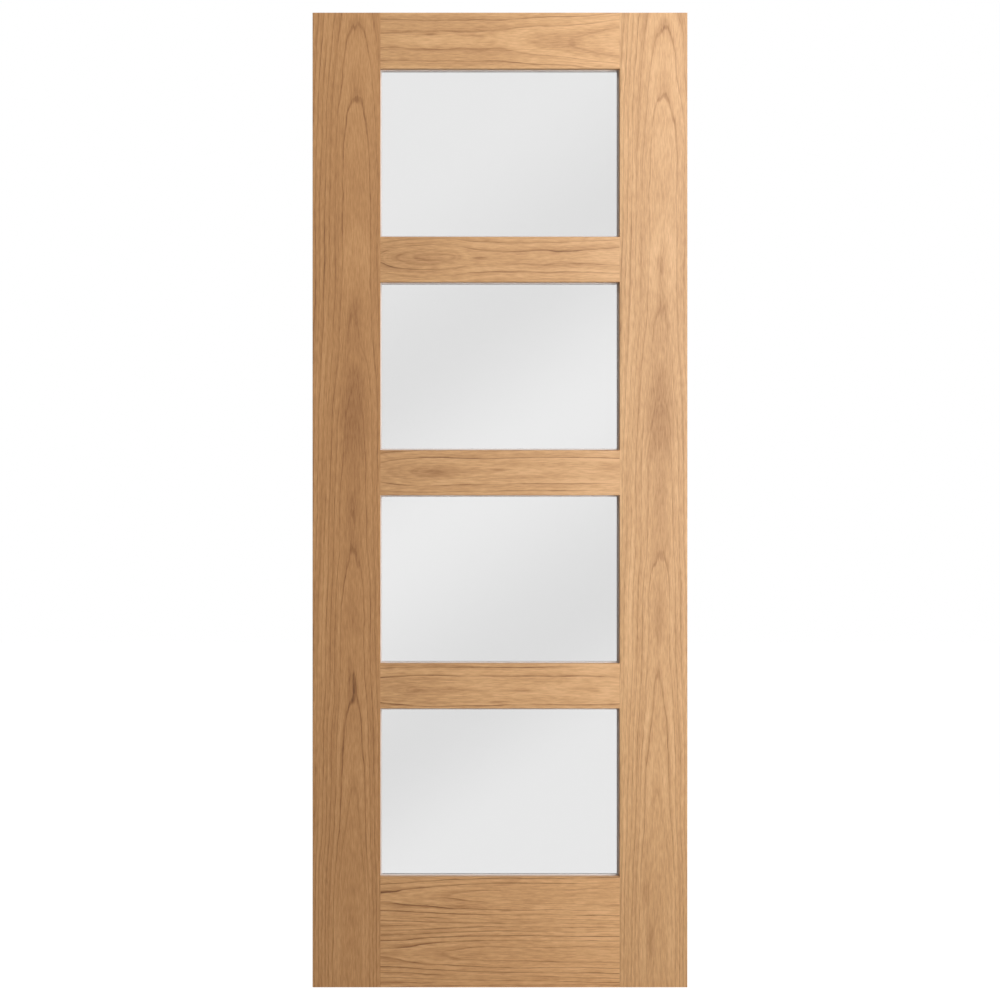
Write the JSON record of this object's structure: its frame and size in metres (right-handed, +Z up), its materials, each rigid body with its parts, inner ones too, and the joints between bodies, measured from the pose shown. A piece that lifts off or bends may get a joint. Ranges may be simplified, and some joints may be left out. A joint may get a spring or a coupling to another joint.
{
  "type": "glazed fire door leaf",
  "caption": "Upright oak-veneered fire door leaf with flat stiles and rails and a column of equal clear fire-glass lights, beaded from the back, ready to be hung.",
  "frame": {"origin": "foot of the left (hinge) edge, halfway through the leaf's thickness", "axes": "+X along the width from the hinge edge to the latch edge, +Y from the front face to the beaded back face, +Z up the leaf"},
  "size_m": [0.762, 0.044, 1.981],
  "materials": {
    "oak_veneer": "crown-cut veneer under clear satin lacquer",
    "oak_lipping": "planed straight-grained solid oak, lacquered",
    "oak_bead": "moulded solid oak, lacquered",
    "timber_core": "sawn laminated softwood, bare",
    "fire_glass": "clear polished, faint grey",
    "glazing_tape": "matt off-white closed-cell tape"
  },
  "bodies": {
    "root": {"bottom_light_cross_beads": "oak_bead", "bottom_light_glass": "fire_glass", "bottom_light_side_beads": "oak_bead", "bottom_light_tape": "glazing_tape", "bottom_rail_back_veneer": "oak_veneer", "bottom_rail_core": "timber_core", "bottom_rail_front_veneer": "oak_veneer", "bottom_rail_lipping": "oak_lipping", "left_stile_back_veneer": "oak_veneer", "left_stile_core": "timber_core", "left_stile_front_veneer": "oak_veneer", "left_stile_lippings": "oak_lipping", "lower_light_cross_beads": "oak_bead", "lower_light_glass": "fire_glass", "lower_light_side_beads": "oak_bead", "lower_light_tape": "glazing_tape", "lower_rail_back_veneer": "oak_veneer", "lower_rail_core": "timber_core", "lower_rail_front_veneer": "oak_veneer", "lower_rail_lipping": "oak_lipping", "middle_rail_back_veneer": "oak_veneer", "middle_rail_core": "timber_core", "middle_rail_front_veneer": "oak_veneer", "middle_rail_lipping": "oak_lipping", "right_stile_back_veneer": "oak_veneer", "right_stile_core": "timber_core", "right_stile_front_veneer": "oak_veneer", "right_stile_lippings": "oak_lipping", "top_light_cross_beads": "oak_bead", "top_light_glass": "fire_glass", "top_light_side_beads": "oak_bead", "top_light_tape": "glazing_tape", "top_rail_back_veneer": "oak_veneer", "top_rail_core": "timber_core", "top_rail_front_veneer": "oak_veneer", "top_rail_lipping": "oak_lipping", "upper_light_cross_beads": "oak_bead", "upper_light_glass": "fire_glass", "upper_light_side_beads": "oak_bead", "upper_light_tape": "glazing_tape", "upper_rail_back_veneer": "oak_veneer", "upper_rail_core": "timber_core", "upper_rail_front_veneer": "oak_veneer", "upper_rail_lipping": "oak_lipping"}
  },
  "joints": []
}
